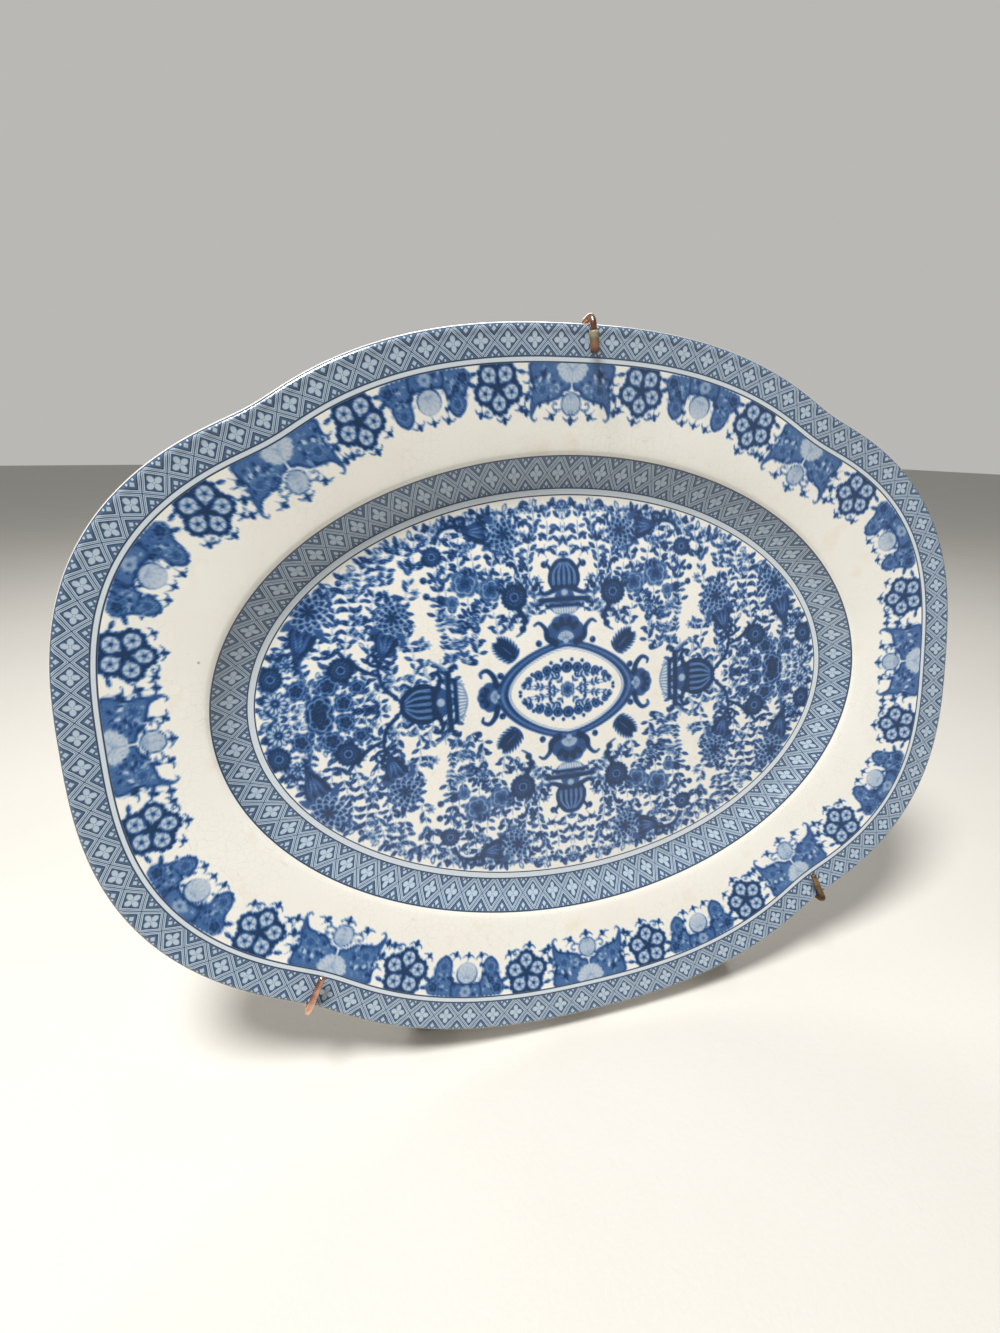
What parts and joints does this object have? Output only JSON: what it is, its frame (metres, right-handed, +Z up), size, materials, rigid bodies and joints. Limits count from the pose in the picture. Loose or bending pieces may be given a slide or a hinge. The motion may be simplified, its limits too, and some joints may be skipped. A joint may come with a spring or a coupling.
{
  "type": "plate display stand",
  "caption": "Free-standing brass plate stand with sliding wire claws, a sprung top claw and a folding rear strut, holding a lobed oval blue and white platter upright.",
  "frame": {"origin": "on the ground, under the middle of the whole object's box", "axes": "+X to the viewer's right along the platter's long axis, +Y from the platter's face to the strut behind it, +Z up"},
  "size_m": [0.47, 0.2102, 0.3605],
  "materials": {
    "glaze": "glossy crazed glaze over a printed underglaze blue pattern",
    "brass_tube": "drawn and lacquered, warm, slightly tarnished",
    "cast_brass": "cast, satin, darker in the corners",
    "copper_wire": "polished copper-coloured wire, darker where handled",
    "rubber": "matte moulded rubber",
    "vinyl": "soft amber-brown sleeve, slightly glossy",
    "spring_steel": "bright drawn wire",
    "dark_steel": "blackened steel"
  },
  "bodies": {
    "stand": {"post_tube": "brass_tube", "post_cap": "brass_tube", "foot_bar": "brass_tube", "arm_tube_left": "brass_tube", "arm_tube_right": "brass_tube", "brace_rod": "brass_tube", "foot_bracket": "cast_brass", "yoke": "cast_brass", "locking_collar_left": "cast_brass", "locking_collar_right": "cast_brass", "brace_hub": "cast_brass", "brace_clamp_left": "cast_brass", "brace_clamp_right": "cast_brass", "pad_saddle": "cast_brass", "strut_clevis": "cast_brass", "rubber_foot_left": "rubber", "rubber_foot_right": "rubber", "pad_lower": "rubber", "pad_upper_left": "rubber", "pad_upper_right": "rubber", "hinge_clip": "spring_steel", "foot_set_screw": "dark_steel", "yoke_set_screw_post": "dark_steel", "yoke_set_screw_left": "dark_steel", "yoke_set_screw_right": "dark_steel", "brace_hub_set_screw": "dark_steel", "brace_clamp_set_screw_left": "dark_steel", "brace_clamp_set_screw_right": "dark_steel", "pad_saddle_set_screw": "dark_steel", "clevis_set_screw": "dark_steel", "hinge_pin": "dark_steel"},
    "platter": {"platter": "glaze"},
    "top_claw": {"top_claw": "copper_wire", "top_claw_sleeve": "vinyl", "spring_stop_collar": "brass_tube"},
    "top_carriage": {"top_carriage": "cast_brass", "claw_spring": "spring_steel"},
    "carriage_screw": {"carriage_thumb_screw": "brass_tube"},
    "lower_claw_left": {"lower_claw_left": "copper_wire"},
    "lower_claw_right": {"lower_claw_right": "copper_wire"},
    "collar_screw_left": {"collar_thumb_screw_left": "brass_tube"},
    "collar_screw_right": {"collar_thumb_screw_right": "brass_tube"},
    "strut": {"strut_eye": "cast_brass", "strut_tube": "brass_tube", "strut_tip": "rubber"}
  },
  "joints": [
    {"name": "platter_lift", "type": "slide", "parent": "stand", "child": "platter", "axis": [0, 0.2079, 0.9781], "range_m": [0, 0.016]},
    {"name": "top_carriage_slide", "type": "slide", "parent": "stand", "child": "top_carriage", "axis": [0, 0.2079, 0.9781], "range_m": [0, 0.02]},
    {"name": "top_claw_lift", "type": "slide", "parent": "top_carriage", "child": "top_claw", "axis": [0, 0.2079, 0.9781], "range_m": [0, 0.016], "stiffness_N_per_m": 600, "springref_m": -0.006, "deforming": ["claw_spring"]},
    {"name": "carriage_screw_turn", "type": "hinge", "parent": "top_carriage", "child": "carriage_screw", "pos_m": [0, 0.01921, 0.30334], "axis": [0, 0.9781, -0.2079], "range_deg": [0, 360]},
    {"name": "lower_claw_left_slide", "type": "slide", "parent": "stand", "child": "lower_claw_left", "axis": [-0.4384, -0.1869, -0.8792], "range_m": [0, 0.035]},
    {"name": "lower_claw_right_slide", "type": "slide", "parent": "stand", "child": "lower_claw_right", "axis": [0.4384, -0.1869, -0.8792], "range_m": [0, 0.035]},
    {"name": "collar_screw_left_turn", "type": "hinge", "parent": "stand", "child": "collar_screw_left", "pos_m": [-0.12397, -0.02935, 0.08448], "axis": [0, 0.9781, -0.2079], "range_deg": [0, 360]},
    {"name": "collar_screw_right_turn", "type": "hinge", "parent": "stand", "child": "collar_screw_right", "pos_m": [0.12397, -0.02935, 0.08448], "axis": [0, 0.9781, -0.2079], "range_deg": [0, 360]},
    {"name": "strut_fold", "type": "hinge", "parent": "stand", "child": "strut", "pos_m": [0, 0.00468, 0.22874], "axis": [1, 0, 0], "range_deg": [-31, 0]}
  ],
  "couplings": [
    {"joint": "top_claw_lift", "follows": "platter_lift", "ratio": 1}
  ]
}
